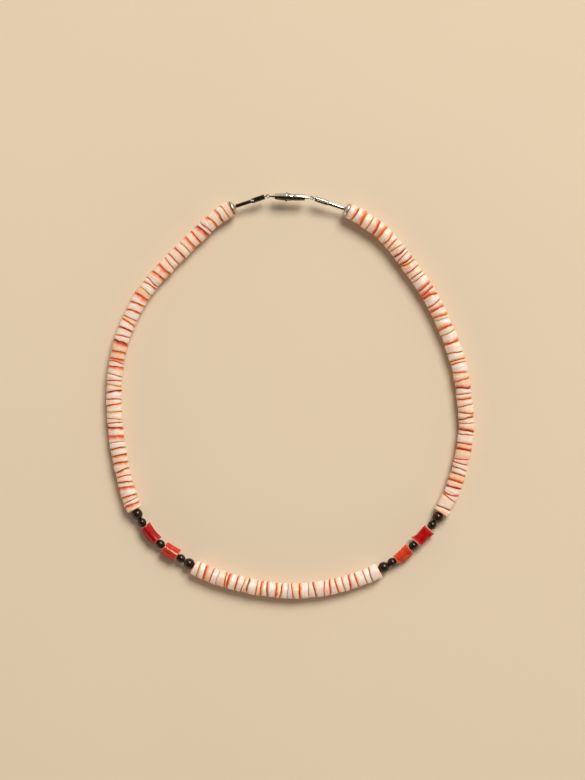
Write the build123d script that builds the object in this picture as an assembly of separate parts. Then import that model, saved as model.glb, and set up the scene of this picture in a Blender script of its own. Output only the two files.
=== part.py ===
from build123d import *
from math import pi, radians, sin, tan
import os

# A beaded choker lying as a closed loop on a flat surface, clasp at the back (+Y), seen from above.
# The loop is one stiff thread. Every piece sits on it end to end, clockwise from the clasp's right link:
# crimp tube, end cap, shell discs, dark beads and coral, shell discs, coral and dark beads, shell discs,
# end cap, crimp tube, and the screw clasp that closes the loop. Sizes are millimetres unless a name says
# degrees or share.

# Thread, the play of the pieces drilled for it, and the gaps that keep neighbours on it apart
THREAD_DIAMETER = 0.6
BORE_PLAY = 0.25
CORAL_BORE_PLAY = 0.45
CRIMP_PLAY = 0.08
DISC_GAP = 0.12
BEAD_GAP = 0.25

# Shell discs: slices of one round, drilled blank
DISC_DIAMETER = 5.5
DISC_WANDER = 0.1
THINNEST_DISC = 1.07
THICKNESS_STEP = 0.35
LEAN_DEGREES = 8.0
TIP_DEGREES = 3.3
TIP_SWING_DEGREES = 2.7

# Dark beads and coral
LARGE_BEAD_DIAMETER = 3.75
LARGE_BEAD_LENGTH = 3.3
SMALL_BEAD_DIAMETER = 3.05
SMALL_BEAD_LENGTH = 2.85
RIGHT_UPPER_CORAL_LENGTH = 6.3
RIGHT_UPPER_CORAL_GIRTH = 4.8
RIGHT_LOWER_CORAL_LENGTH = 6.0
RIGHT_LOWER_CORAL_GIRTH = 4.7
LEFT_LOWER_CORAL_LENGTH = 5.3
LEFT_LOWER_CORAL_GIRTH = 5.1
LEFT_UPPER_CORAL_LENGTH = 6.5
LEFT_UPPER_CORAL_GIRTH = 4.5

# End caps: low domed washers between the strand and the crimp tubes
CAP_DIAMETER = 4.7
CAP_LENGTH = 1.3
CAP_RIM = 0.35
CAP_COLLAR_DIAMETER = 1.7
CAP_COLLAR_LENGTH = 0.15
CAP_CROWN = 0.12

# Wire eyes that link the crimp tubes to the clasp
EYE_WIRE = 0.3
EYE_RADIUS = 0.55
LINK_PLAY = 0.18

# Crimp tubes: rolled tube, wide with an open seam, pinched to a narrow end that grips the thread
TUBE_WIDE_DIAMETER = 1.75
TUBE_WIDE_LENGTH = 4.5
TUBE_NARROW_DIAMETER = 1.25
TUBE_NARROW_LENGTH = 5.5
TUBE_SHOULDER = 0.45
TUBE_GRIP = 4.0
SEAM_WIDTH = 0.3
SEAM_DEPTH = 0.4

# Barrel screw clasp, widest where its halves meet
BARREL_LENGTH = 10.4
BARREL_DIAMETER = 2.6
BARREL_END_DIAMETER = 2.05
PLUG_LENGTH = 3.7
COLLAR_WIDTH = 0.6
COLLAR_DIAMETER = 3.25
STUD_DIAMETER = 1.5
STUD_LENGTH = 2.8
STUD_END_PLAY = 0.2
CLASP_PLAY = 0.06
SHANK_LENGTH = 1.85
SHANK_DIAMETER = 0.85
SHANK_TIP_DIAMETER = 0.5

# Shell discs, charted by hand in the order of travel. A letter is a thickness, a the thinnest. The mark
# between two discs is their joint seen from above: | square, > inner end further on, < outer end further on.
THICKNESS_LETTERS = "abcdefgh"
JOINT_LEANS = {"|": 0.0, ">": LEAN_DEGREES, "<": -LEAN_DEGREES}
RIGHT_CHART = ("e<g|e|f>e|f>d>c<d|b>c|a<e|d|b|g>c>c<f>d|e<a<g|c>h|h<e|a|g<e>f<c|c|"
               "d>e<c>b|e<b|f|d|g>b|c<c|e|d>e>b<h>d")
FRONT_CHART = "g<d|f|e<d|d>e<c<g>d|f|e>b|d<c|f>d|b|f|c<d|f|a>e|d|e>d>d"
LEFT_CHART = ("c|b>b|g<c<c|d>e|e|e|c|d<f<b|b<d|e>c|e>d<b|c<f|b<a|e|g<d>e|e<b|e>f>"
              "f|d|e>a|g>f|e<d|f|e|e|e|g>b>f>g|d>e")

# Coral forms. Columns: place along the piece as a share of its length, then outward half-width, inward
# half-width and half-height as shares of its girth.
RIGHT_UPPER_CORAL = [
    (0.00, 0.52, 0.42, 0.47),
    (0.45, 0.42, 0.40, 0.42),
    (0.82, 0.42, 0.43, 0.44),
    (1.00, 0.43, 0.58, 0.47),
]
RIGHT_LOWER_CORAL = [
    (0.00, 0.44, 0.46, 0.46),
    (0.45, 0.52, 0.38, 0.45),
    (0.75, 0.43, 0.35, 0.43),
    (1.00, 0.40, 0.33, 0.38),
]
LEFT_LOWER_CORAL = [
    (0.00, 0.46, 0.51, 0.46),
    (0.50, 0.46, 0.46, 0.44),
    (1.00, 0.50, 0.45, 0.46),
]
LEFT_UPPER_CORAL = [
    (0.00, 0.46, 0.46, 0.46),
    (0.50, 0.49, 0.43, 0.45),
    (1.00, 0.43, 0.52, 0.46),
]

# The loop's route, clockwise from the right of the clasp. Columns: x, y, and the rise of the thread over
# the height at which the discs rest. The stiff strand climbs to the clasp.
ROUTE = [
    (12.2, 66.45, 1.5),
    (22.8, 61.7, 0.6),
    (31.6, 55.9, 0.25),
    (40.0, 45.4, 0.0),
    (47.8, 34.2, 0.0),
    (53.8, 21.8, 0.0),
    (58.3, 8.7, 0.0),
    (60.0, -4.9, 0.0),
    (60.4, -12.1, 0.0),
    (59.4, -18.9, 0.0),
    (56.2, -32.2, 0.0),
    (49.4, -44.2, 0.0),
    (39.9, -54.3, 0.0),
    (28.2, -61.7, 0.0),
    (15.0, -66.1, 0.0),
    (1.4, -67.8, 0.0),
    (-12.2, -66.4, 0.0),
    (-25.6, -62.7, 0.0),
    (-32.2, -59.9, 0.0),
    (-43.8, -52.5, 0.0),
    (-48.9, -47.5, 0.0),
    (-52.5, -41.9, 0.0),
    (-55.4, -35.9, 0.0),
    (-58.8, -22.5, 0.0),
    (-60.7, -8.7, 0.0),
    (-60.8, 5.3, 0.0),
    (-58.5, 18.9, 0.0),
    (-52.8, 31.4, 0.0),
    (-49.0, 37.1, 0.0),
    (-39.6, 47.4, 0.0),
    (-29.9, 56.7, 0.25),
    (-24.8, 61.6, 0.6),
    (-12.9, 67.55, 1.5),
    (-0.3, 68.7, 2.4),
]
RIGHT_LINK_SHARE = 0.0055
ARC_SHARE = 0.45

# Uneven stringing: radians between one disc and the next in the waves that tip and shift them
TIP_WAVE = 2.4
WANDER_WAVE = 1.9

# Rounds of correction when the pieces are laid along the line, and when the line is fitted to them
WALK_ROUNDS = 2
FIT_ROUNDS = 3

# Worked out from the sizes above
DISC_RADIUS = DISC_DIAMETER / 2
THREAD_BORE = THREAD_DIAMETER + 2 * BORE_PLAY
CORAL_BORE = THREAD_DIAMETER + 2 * CORAL_BORE_PLAY
TUBE_BORE = THREAD_DIAMETER + 2 * CRIMP_PLAY
HALF_BARREL = BARREL_LENGTH / 2
LINK_REACH = EYE_RADIUS - (EYE_WIRE + LINK_PLAY) / 2
EYE_SEAT = HALF_BARREL + SHANK_LENGTH + EYE_RADIUS
HALF_CLASP = EYE_SEAT + LINK_REACH
TUBE_START = LINK_REACH + EYE_RADIUS
TUBE_SHOULDER_START = TUBE_START + TUBE_WIDE_LENGTH
TUBE_NARROW_START = TUBE_SHOULDER_START + TUBE_SHOULDER
TUBE_END = TUBE_NARROW_START + TUBE_NARROW_LENGTH
PLUG_FACE = PLUG_LENGTH + COLLAR_WIDTH - HALF_BARREL


def corner_radii(points):
    """Arc radius at each corner, so that each arc takes the same share of the shorter run beside it."""
    radii = []
    for i, corner in enumerate(points):
        into = Vector(corner) - Vector(points[i - 1])
        out = Vector(points[(i + 1) % len(points)]) - Vector(corner)
        half_turn = radians(into.get_angle(out)) / 2
        radii.append(ARC_SHARE * min(into.length, out.length) / tan(half_turn))
    return radii


def loop_path(spread):
    """The closed thread line: the route opened out by spread, as straight runs and tangent arcs."""
    points = [(x * spread, y * spread, DISC_RADIUS + rise) for x, y, rise in ROUTE]
    radii = corner_radii(points)
    print(f"spread {spread:.4f}, arcs from {min(radii):.0f} to {max(radii):.0f}")
    return FilletPolyline(*points, radius=radii, close=True)


def point_at(path, distance):
    """Point of the closed path at a distance along it."""
    return path.position_at(distance % path.length, position_mode=PositionMode.LENGTH)


def walk(path, pitches):
    """Distances along the path at which straight pieces of these pitches meet, laid end to end."""
    stations = [RIGHT_LINK_SHARE * path.length]
    for pitch in pitches:
        here = stations[-1]
        start = point_at(path, here)
        step = pitch
        for _ in range(WALK_ROUNDS):
            step *= pitch / (point_at(path, here + step) - start).length
        stations.append(here + step)
    return stations


def fit_loop(pitches):
    """The loop that the pieces fill exactly, and where along it they meet."""
    spread = 1.0
    for _ in range(FIT_ROUNDS):
        path = loop_path(spread)
        stations = walk(path, pitches)
        spread *= (stations[-1] - stations[0]) / path.length
    return path, stations


def read_chart(chart):
    """Thicknesses of a chart's discs, and the leans of the joints before, between and after them."""
    thicknesses = [THINNEST_DISC + THICKNESS_STEP * THICKNESS_LETTERS.index(c) for c in chart[0::2]]
    leans = [0.0] + [JOINT_LEANS[c] for c in chart[1::2]] + [0.0]
    return thicknesses, leans


def seat(start, end):
    """Plane at start with z towards end, x outwards from the loop and y up."""
    ahead = (end - start).normalized()
    return Plane(origin=start, x_dir=Vector(0, 0, 1).cross(ahead), z_dir=ahead)


def joint_plane(before, here, after, lean, tip):
    """Plane between two discs, square to the strand and then leant in plan and tipped along the strand."""
    square = seat(before, after)
    normal = square.z_dir + square.x_dir * tan(radians(lean)) - square.y_dir * tan(radians(tip))
    return Plane(origin=here, z_dir=normal)


def shell_disc(place, pitch, sideways, face_before, face_after):
    """One drilled slice of the round blank, cut by its two joint planes less half the gap each."""
    length = pitch + 2 * DISC_RADIUS
    blank = Cylinder(DISC_RADIUS, length) - Cylinder(THREAD_BORE / 2, length)
    blank = place.location * Pos(sideways, 0, pitch / 2) * blank
    disc = split(blank, bisect_by=face_before.offset(DISC_GAP / 2), keep=Keep.TOP)
    return split(disc, bisect_by=face_after.offset(-DISC_GAP / 2), keep=Keep.BOTTOM)


def string_of_discs(points, chart):
    """The loose discs of one chart, from the points where they meet and one more point at either end."""
    thicknesses, leans = read_chart(chart)
    planes = []
    for i, lean in enumerate(leans):
        inner = 0 < i < len(thicknesses)
        tip = TIP_DEGREES + TIP_SWING_DEGREES * sin(TIP_WAVE * i) if inner else 0.0
        planes.append(joint_plane(points[i], points[i + 1], points[i + 2], lean, tip))
    discs = []
    for i, thickness in enumerate(thicknesses):
        place = seat(points[i + 1], points[i + 2])
        sideways = DISC_WANDER * sin(WANDER_WAVE * i)
        disc = shell_disc(place, thickness + DISC_GAP, sideways, planes[i], planes[i + 1])
        discs += disc.solids()
    return discs


def round_bead(diameter, length):
    """A drilled ball with its two ends ground flat, its axis along z from 0 to length."""
    ball = Sphere(diameter / 2) & Box(diameter, diameter, length)
    return Pos(0, 0, length / 2) * (ball - Cylinder(THREAD_BORE / 2, length))


def coral(length, girth, sections):
    """A drilled branch of coral lofted through oval sections, its axis along z from 0 to length."""
    ovals = []
    for along, outward, inward, height in sections:
        oval = Ellipse((outward + inward) / 2 * girth, height * girth)
        ovals.append(Pos((outward - inward) / 2 * girth, 0, along * length) * oval)
    return loft(ovals) - Pos(0, 0, length / 2) * Cylinder(CORAL_BORE / 2, length)


def turned(profile):
    """A solid turned about z from (radius, z) corners."""
    outline = Polyline(*[(radius, 0, z) for radius, z in profile], close=True)
    return revolve(make_face(outline), Axis.Z)


def end_cap():
    """A low domed washer: a small collar towards the tube at z 0, a flat back towards the strand."""
    rim = (CAP_DIAMETER / 2, 0, CAP_LENGTH - CAP_RIM)
    collar = (CAP_COLLAR_DIAMETER / 2, 0, CAP_COLLAR_LENGTH)
    crown = ((rim[0] + collar[0]) / 2, 0, (rim[2] + collar[2]) / 2 - CAP_CROWN)
    bore = THREAD_BORE / 2
    outline = Wire([
        Line((bore, 0, 0), (collar[0], 0, 0)),
        Line((collar[0], 0, 0), collar),
        ThreePointArc(collar, crown, rim),
        Line(rim, (rim[0], 0, CAP_LENGTH)),
        Line((rim[0], 0, CAP_LENGTH), (bore, 0, CAP_LENGTH)),
        Line((bore, 0, CAP_LENGTH), (bore, 0, 0)),
    ])
    return revolve(make_face(outline), Axis.Z)


def crimp_tube():
    """A crimp tube with its upright eye, along z from the link point at 0 to its narrow end."""
    wide = TUBE_WIDE_DIAMETER / 2
    narrow = TUBE_NARROW_DIAMETER / 2
    tube = turned([(0, TUBE_START), (wide, TUBE_START), (wide, TUBE_SHOULDER_START),
                   (narrow, TUBE_NARROW_START), (narrow, TUBE_END), (0, TUBE_END)])
    seam_middle = TUBE_START + EYE_WIRE + TUBE_WIDE_LENGTH / 2
    seam = Pos(0, wide, seam_middle) * Box(SEAM_WIDTH, 2 * SEAM_DEPTH, TUBE_WIDE_LENGTH)
    bore_depth = TUBE_GRIP + CLASP_PLAY
    bore = Pos(0, 0, TUBE_END - bore_depth / 2) * Cylinder(TUBE_BORE / 2, bore_depth)
    eye = Pos(0, 0, LINK_REACH) * Rot(0, 90, 0) * Torus(EYE_RADIUS, EYE_WIRE / 2)
    return tube - seam - bore + eye


def flat_eye(middle):
    """A level wire eye with its middle on the z axis."""
    return Pos(0, 0, middle) * Rot(90, 0, 0) * Torus(EYE_RADIUS, EYE_WIRE / 2)


def clasp_plug():
    """The clasp's half with the collar and the stud, its eye towards -z, the clasp's middle at 0."""
    collar_start = PLUG_FACE - COLLAR_WIDTH
    collar = COLLAR_DIAMETER / 2
    stud = STUD_DIAMETER / 2
    return turned([
        (0, -HALF_BARREL - SHANK_LENGTH),
        (SHANK_TIP_DIAMETER / 2, -HALF_BARREL - SHANK_LENGTH),
        (SHANK_DIAMETER / 2, -HALF_BARREL),
        (BARREL_END_DIAMETER / 2, -HALF_BARREL),
        (BARREL_DIAMETER / 2, collar_start),
        (collar, collar_start),
        (collar, PLUG_FACE),
        (stud, PLUG_FACE),
        (stud, PLUG_FACE + STUD_LENGTH),
        (0, PLUG_FACE + STUD_LENGTH),
    ]) + flat_eye(-EYE_SEAT)


def clasp_sleeve():
    """The clasp's bored half, its eye towards +z, the clasp's middle at 0."""
    mouth = PLUG_FACE + CLASP_PLAY
    bore = STUD_DIAMETER / 2 + CLASP_PLAY
    bore_end = PLUG_FACE + STUD_LENGTH + STUD_END_PLAY
    return turned([
        (bore, mouth),
        (BARREL_DIAMETER / 2, mouth),
        (BARREL_END_DIAMETER / 2, HALF_BARREL),
        (SHANK_DIAMETER / 2, HALF_BARREL),
        (SHANK_TIP_DIAMETER / 2, HALF_BARREL + SHANK_LENGTH),
        (0, HALF_BARREL + SHANK_LENGTH),
        (0, bore_end),
        (bore, bore_end),
    ]) + flat_eye(EYE_SEAT)


def thread(path, right_place, left_place, start, end):
    """The thread through every drilled piece, and its two straight ends gripped in the crimp tubes."""
    run = path.trim(start / path.length, end / path.length)
    profile = Plane(origin=run @ 0, z_dir=run % 0) * Circle(THREAD_DIAMETER / 2)
    strand = sweep(profile, path=run)
    expected = pi * (THREAD_DIAMETER / 2) ** 2 * run.length
    print(f"thread length {run.length:.2f}, volume {strand.volume:.3f}, expected {expected:.3f}")
    tube_reach = TUBE_END + BEAD_GAP / 2
    for place in (right_place, left_place):
        end_piece = Pos(0, 0, tube_reach - TUBE_GRIP / 2) * Cylinder(THREAD_DIAMETER / 2, TUBE_GRIP)
        turn = Pos(0, 0, tube_reach) * Sphere(THREAD_DIAMETER / 2)
        strand += place.location * end_piece + place.location * turn
    return strand


def accents():
    """Dark beads and coral of both sides in the order of travel: node, length and solid."""
    large = (LARGE_BEAD_LENGTH, round_bead(LARGE_BEAD_DIAMETER, LARGE_BEAD_LENGTH))
    small = (SMALL_BEAD_LENGTH, round_bead(SMALL_BEAD_DIAMETER, SMALL_BEAD_LENGTH))
    right_upper = coral(RIGHT_UPPER_CORAL_LENGTH, RIGHT_UPPER_CORAL_GIRTH, RIGHT_UPPER_CORAL)
    right_lower = coral(RIGHT_LOWER_CORAL_LENGTH, RIGHT_LOWER_CORAL_GIRTH, RIGHT_LOWER_CORAL)
    left_lower = coral(LEFT_LOWER_CORAL_LENGTH, LEFT_LOWER_CORAL_GIRTH, LEFT_LOWER_CORAL)
    left_upper = coral(LEFT_UPPER_CORAL_LENGTH, LEFT_UPPER_CORAL_GIRTH, LEFT_UPPER_CORAL)
    right = [
        ("dark_bead_right_1", *large),
        ("dark_bead_right_2", *small),
        ("coral_right_upper", RIGHT_UPPER_CORAL_LENGTH, right_upper),
        ("dark_bead_right_3", *small),
        ("coral_right_lower", RIGHT_LOWER_CORAL_LENGTH, right_lower),
        ("dark_bead_right_4", *small),
        ("dark_bead_right_5", *large),
    ]
    left = [
        ("dark_bead_left_1", *large),
        ("dark_bead_left_2", *small),
        ("coral_left_lower", LEFT_LOWER_CORAL_LENGTH, left_lower),
        ("dark_bead_left_3", *small),
        ("coral_left_upper", LEFT_UPPER_CORAL_LENGTH, left_upper),
        ("dark_bead_left_4", *small),
        ("dark_bead_left_5", *large),
    ]
    return right, left


def build():
    """Every node's solids, by name, the loop standing on z 0 about the middle of its box."""
    right, left = accents()
    stretches = [RIGHT_CHART, right, FRONT_CHART, left, LEFT_CHART]
    ends = [TUBE_END + BEAD_GAP / 2, CAP_LENGTH + BEAD_GAP]
    pitches = list(ends)
    firsts = []
    for stretch in stretches:
        firsts.append(len(pitches))
        if isinstance(stretch, str):
            pitches += [thickness + DISC_GAP for thickness in read_chart(stretch)[0]]
        else:
            pitches += [length + BEAD_GAP for _, length, _ in stretch]
    left_cap = len(pitches)
    pitches += ends[::-1] + [2 * HALF_CLASP]

    path, stations = fit_loop(pitches)
    points = [point_at(path, distance) for distance in stations]
    print(f"loop length {path.length:.2f}, pieces {len(pitches)}")

    nodes = {}
    half_gap = Pos(0, 0, BEAD_GAP / 2)
    discs = ["shell_discs_right", "shell_discs_front", "shell_discs_left"]
    for first, stretch in zip(firsts, stretches):
        if isinstance(stretch, str):
            count = len(read_chart(stretch)[0])
            nodes[discs.pop(0)] = string_of_discs(points[first - 1:first + count + 2], stretch)
            continue
        for i, (node, length, solid) in enumerate(stretch, start=first):
            place = seat(points[i], points[i + 1])
            nodes[node] = [place.location * half_gap * solid]

    right_tube = seat(points[0], points[1])
    left_tube = seat(points[left_cap + 2], points[left_cap + 1])
    nodes["crimp_tube_right"] = [right_tube.location * crimp_tube()]
    nodes["crimp_tube_left"] = [left_tube.location * crimp_tube()]
    nodes["end_cap_right"] = [seat(points[1], points[2]).location * half_gap * end_cap()]
    nodes["end_cap_left"] = [seat(points[left_cap + 1], points[left_cap]).location * half_gap * end_cap()]
    clasp = seat(points[left_cap + 2], points[0]).location * Pos(0, 0, HALF_CLASP)
    nodes["clasp_plug"] = [clasp * clasp_plug()]
    nodes["clasp_sleeve"] = [clasp * clasp_sleeve()]
    nodes["thread"] = [thread(path, right_tube, left_tube, stations[1], stations[left_cap + 1])]

    box = Compound(children=[Compound(solids) for solids in nodes.values()]).bounding_box()
    centred = Pos(-box.center().X, -box.center().Y, -box.min.Z)
    return {node: [centred * solid for solid in solids] for node, solids in nodes.items()}


os.makedirs("parts", exist_ok=True)
for name, solids in build().items():
    shape = solids[0] if len(solids) == 1 else Compound(children=solids)
    export_step(shape, f"parts/{name}.step")
    print(name, len(shape.solids()), f"{shape.volume:.2f}")
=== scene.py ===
import math

import bpy
import numpy as np
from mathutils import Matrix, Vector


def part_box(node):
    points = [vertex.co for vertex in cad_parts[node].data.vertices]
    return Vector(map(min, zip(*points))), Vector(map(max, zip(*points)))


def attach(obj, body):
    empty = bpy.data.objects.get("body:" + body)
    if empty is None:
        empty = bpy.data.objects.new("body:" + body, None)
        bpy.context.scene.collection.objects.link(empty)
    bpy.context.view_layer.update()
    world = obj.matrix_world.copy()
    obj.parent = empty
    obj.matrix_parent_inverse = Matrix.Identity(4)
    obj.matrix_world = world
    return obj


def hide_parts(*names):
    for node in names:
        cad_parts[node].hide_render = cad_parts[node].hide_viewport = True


bl_info = {
    "name": "Beaded choker",
    "version": (1, 0, 0),
    "blender": (4, 5, 0),
    "location": "3D View > Sidebar > Choker",
    "description": "Shell disc choker with coral, dark beads and a barrel clasp, laid on a pale floor",
    "category": "Object",
}

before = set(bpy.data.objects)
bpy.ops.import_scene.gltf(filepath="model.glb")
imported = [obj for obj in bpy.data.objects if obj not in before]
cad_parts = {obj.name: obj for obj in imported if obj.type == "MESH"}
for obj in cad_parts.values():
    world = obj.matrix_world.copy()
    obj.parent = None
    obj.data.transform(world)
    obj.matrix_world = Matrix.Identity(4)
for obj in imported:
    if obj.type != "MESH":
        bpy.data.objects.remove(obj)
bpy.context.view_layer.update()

MM = 0.001
UP = np.array([0.0, 0.0, 1.0])
# Reading the CAD: the cosine between two normals and the millimetres between two planes that count as the
# same, the cosine to a direction of a face that faces it, and how near each other points of one ring lie
SAME_NORMAL = 0.9998
SAME_PLANE = 0.03
FACING = 0.7
SAME = 0.01

# Every piece is worked out in millimetres in its own seat: z ahead, x outwards from the loop and y up.
# Ahead is clockwise seen from above, except on the crimp tubes and end caps, where it is away from the clasp,
# and on the clasp's sleeve, where it is anticlockwise. Where it is anticlockwise, x is inwards.

# The shell strands, charted in the order of travel: body tone, band tone, band width. The band is
# at the disc's far end. Body tones: w white, c cream, p peach, k pink, o orange. Band tones: o orange,
# r red, d dark red, b brown, a amber, n none.
BAND_WIDTHS = (0.0, 0.2, 0.35, 0.55, 0.85, 1.2, 1.9)
STRANDS = {
    "shell_discs_right": (
        "kr3 wo6 ca3 kr5 ko5 co3 co2 pa2 kd3 wr1 kd3 co3 pr2 pr1 wa1 wr4 pr4 "
        "cr5 wr2 wr4 ko4 wn0 cr5 ca2 cr5 cb1 wo3 cr1 wo3 po3 od4 wr1 wo4 kr1 "
        "co3 wb4 ca1 od4 co1 wo3 od4 or1 wr1 cb1 wb3 or4 pd3 wr3 wo1 cb2 wo2"),
    "shell_discs_front": (
        "wb1 wo1 wo3 wr4 wo1 co3 wr3 kr1 wb3 cn0 wo4 pr1 wn0 wo3 "
        "co4 wb3 wo4 co1 wb3 ka1 kb3 wr4 wo3 pn0 wr1 or4 wa3 wo1"),
    "shell_discs_left": (
        "cr4 kr1 wb4 wr5 wb3 pr1 kb3 wb4 pb4 wb3 wn0 wr5 wd4 kr1 wa2 wa3 co3 "
        "wr1 wd3 wa3 cr1 wa2 cr4 wr1 wr4 ob4 od5 kr1 cd3 wo3 oo1 wr3 wr3 wr5 "
        "oa3 wb2 kr1 pr4 cr5 po1 wr1 pb3 ca1 pr4 cr3 pd5 wd1 wo4 wb4 wa3 kb2"),
}
BODY_TONES = {"w": "white", "c": "cream", "p": "peach", "k": "pink", "o": "orange"}
BAND_TONES = {"o": "band_orange", "r": "band_red", "d": "band_dark", "b": "band_brown", "a": "band_amber",
              "n": "cream"}
# The bands with a strong stain at their joint, how strong that and any other stain is, the share of a band's
# width that shows on the next disc, how plain a strand's two end faces are, and how light a body may be.
DARK_BANDS = "db"
DARK_GRIME = 0.95
PALE_GRIME = 0.3
NEXT_DISC_BAND = 0.3
BARE_END = 0.9
BODY_SPREAD = (0.93, 1.04)

# Uneven discs: the seed of the first strand's random draws, the points round a rim, the waves in it, the
# spread of its edges' radii, how much they wave, its chips and the spread of their widths, and the joints'
# wander.
FIRST_SEED = 40
DISC_COLUMNS = 36
RIM_WAVES = (2, 3, 5)
EDGE_SPREAD = (0.6, 1.5)
EDGE_WAVE = 0.35
CHIPS = 2
CHIP_SPREAD = (0.01, 0.05)
JOINT_SPREAD = 0.7

# How far the pattern is moved on from one disc, bead, coral piece, cap or tube to the next, so that no two
# look alike
DISC_STEP = (13.7, 7.9, 0.0)
BEAD_STEP = (11.3, 5.1, 0.0)
CORAL_STEP = 9.1
CAP_STEP = 5.0
TUBE_STEP = 3.0

# Coral forms. Sections: place along as a share of the length, then outward, inward and upper half-widths
# as shares of the girth. Facets: direction in degrees from outwards towards up, distance from the axis as
# a share of the girth, hollow as a share of the girth. Dents: place along, direction, reach in degrees and
# depth as a share of the girth.
# Each form's last key gives how much painted shade its outer side, away from the light, takes.
CORAL_FORMS = {
    "coral_right_upper": {
        "sections": ((0.0, 0.52, 0.42, 0.47), (0.45, 0.42, 0.40, 0.42), (0.82, 0.42, 0.43, 0.44),
                     (1.0, 0.43, 0.58, 0.47)),
        "facets": ((62, 0.42, 0.01), (118, 0.41, 0.01)),
        "dents": ((0.55, 150, 26, 0.02), (0.3, 80, 24, 0.015)),
        "tone": "deep_red", "pale_end": 1.0, "rough_skin": 0.006, "gloss": 0.12, "painted_shade": 0.0,
    },
    "coral_right_lower": {
        "sections": ((0.0, 0.44, 0.46, 0.46), (0.45, 0.52, 0.38, 0.45), (0.75, 0.43, 0.35, 0.43),
                     (1.0, 0.40, 0.33, 0.38)),
        "facets": ((75, 0.42, 0.02), (35, 0.41, 0.0), (140, 0.43, 0.0)),
        "dents": ((0.82, 38, 30, 0.09), (0.62, 100, 20, 0.025), (0.25, 60, 22, 0.025), (0.4, 140, 18, 0.02)),
        "tone": "orange_red", "pale_end": 0.4, "rough_skin": 0.014, "gloss": 0.25, "painted_shade": 0.3,
    },
    "coral_left_lower": {
        "sections": ((0.0, 0.46, 0.51, 0.46), (0.5, 0.46, 0.46, 0.44), (1.0, 0.50, 0.45, 0.46)),
        "facets": ((125, 0.44, 0.02), (45, 0.43, 0.0)),
        "dents": ((0.6, 150, 24, 0.01),),
        "tone": "warm_red", "pale_end": 0.15, "rough_skin": 0.003, "gloss": 0.3, "painted_shade": 0.8,
    },
    "coral_left_upper": {
        "sections": ((0.0, 0.46, 0.46, 0.46), (0.5, 0.49, 0.43, 0.45), (1.0, 0.43, 0.52, 0.46)),
        "facets": ((125, 0.455, 0.015), (42, 0.43, 0.0)),
        "dents": ((0.9, 20, 26, 0.02),),
        "tone": "blood_red", "pale_end": 0.15, "rough_skin": 0.003, "gloss": 0.3, "painted_shade": 0.8,
    },
}

# How much of the red, green and blue of its tone a coral piece keeps on its outer side, where it is darkest:
# painted shade on the side away from the light
PAINTED_SHADE_TONE = (0.72, 0.4, 0.35)
# A coral facet's reach to each side in radians, the rounding of its edges in millimetres, a dent's reach as a
# share of the length, the lengthwise waves of the grain, and how far in from a cut end the pale skin fades.
FACET_REACH = 1.2
FACET_SOFTNESS = 0.2
DENT_REACH = 0.13
GRAIN_WAVES = (7, 12, 19)
PALE_FADE = 0.22

# Darkening from 0 to 1: painted shadow at the caps' rims, painted dark reflection all over the left tube, and
# tarnishing at the closing points of a piece's two ends and on its eye. The pairs say where the painted dark
# reflection on the side against the neck, away from the light, starts and is full, as shares of the radius.
CAP_RIM_SHADE = {"end_cap_right": 0.25, "end_cap_left": 1.0}
# The left tube gets painted dark reflection all over, and the right one none.
TUBE_PAINTED_DARK = {"crimp_tube_right": 0.0, "crimp_tube_left": 0.92}
POLE_TARNISH = (0.5, 1.0)
EYE_TARNISH = 0.6
TUBE_DARK = (0.1, 0.45)
PLUG_DARK = (-0.15, 0.15)
SLEEVE_DARK = (0.1, 0.3)

# Small forms of the silver in millimetres, the notches in the collar and their depth as a share of its
# radius, and the grid of an eye and the two ways it may lie beside z.
CAP_FOOT = 0.12
HAMMERING = 0.05
PINCH_DEPTH = 0.07
PINCH_PLACE = 1.2
PINCH_REACH = 0.5
SEAM_STOP = 0.25
SEAM_FADE = 0.2
NOTCHES = 28
NOTCH_DEPTH = 0.03
EYE_COLUMNS = 32
EYE_ROWS = 12
UPRIGHT = np.array([0.0, 1.0, 0.0])
LEVEL = np.array([1.0, 0.0, 0.0])


def tone(name, default, words):
    """A colour property in display values."""
    return bpy.props.FloatVectorProperty(name=name, description=words, default=default, size=3,
                                         subtype="COLOR_GAMMA", min=0.0, max=1.0)


def length(name, millimetres, words):
    """A length property, its default given in millimetres."""
    return bpy.props.FloatProperty(name=name, description=words, default=millimetres * MM, unit="LENGTH",
                                   precision=5)


class ShellSettings(bpy.types.PropertyGroup):
    """Edges and tones of the shell discs."""

    edge: length("Edge wear", 0.2, "Mean radius of a disc's worn rim edges")
    chip: length("Chips", 0.3, "Depth of the chips at the rim edges")
    waver: length("Waver", 0.06, "How far a rim wavers in from a true round")
    slimmer: length("Slimmer discs", 0.12, "How much smaller than the largest a disc's radius may be")
    warp: length("Warp", 0.09, "How far a joint between two discs wanders from a flat cut at the rim")
    white: tone("White", (0.92, 0.875, 0.845), "Whitest shell")
    cream: tone("Cream", (0.92, 0.86, 0.79), "Cream shell")
    peach: tone("Peach", (0.93, 0.81, 0.72), "Peach shell")
    pink: tone("Pink", (0.93, 0.82, 0.77), "Pink shell")
    orange: tone("Orange", (0.94, 0.76, 0.62), "Orange shell")
    blush: tone("Blush", (0.93, 0.74, 0.64), "Pink that every disc takes on towards its faces")
    band_orange: tone("Orange band", (0.90, 0.51, 0.20), "Orange layer of the shell")
    band_red: tone("Red band", (0.88, 0.41, 0.17), "Red layer of the shell")
    band_dark: tone("Dark red band", (0.80, 0.29, 0.09), "Darkest red layer of the shell")
    band_brown: tone("Brown band", (0.84, 0.52, 0.27), "Brown layer of the shell")
    band_amber: tone("Amber band", (0.90, 0.70, 0.45), "Amber layer of the shell")
    nacre: tone("Nacre", (0.92, 0.90, 0.87), "Whitest growth lines")
    grime: tone("Grime", (0.52, 0.22, 0.06), "Stained line beside a joint")


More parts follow.
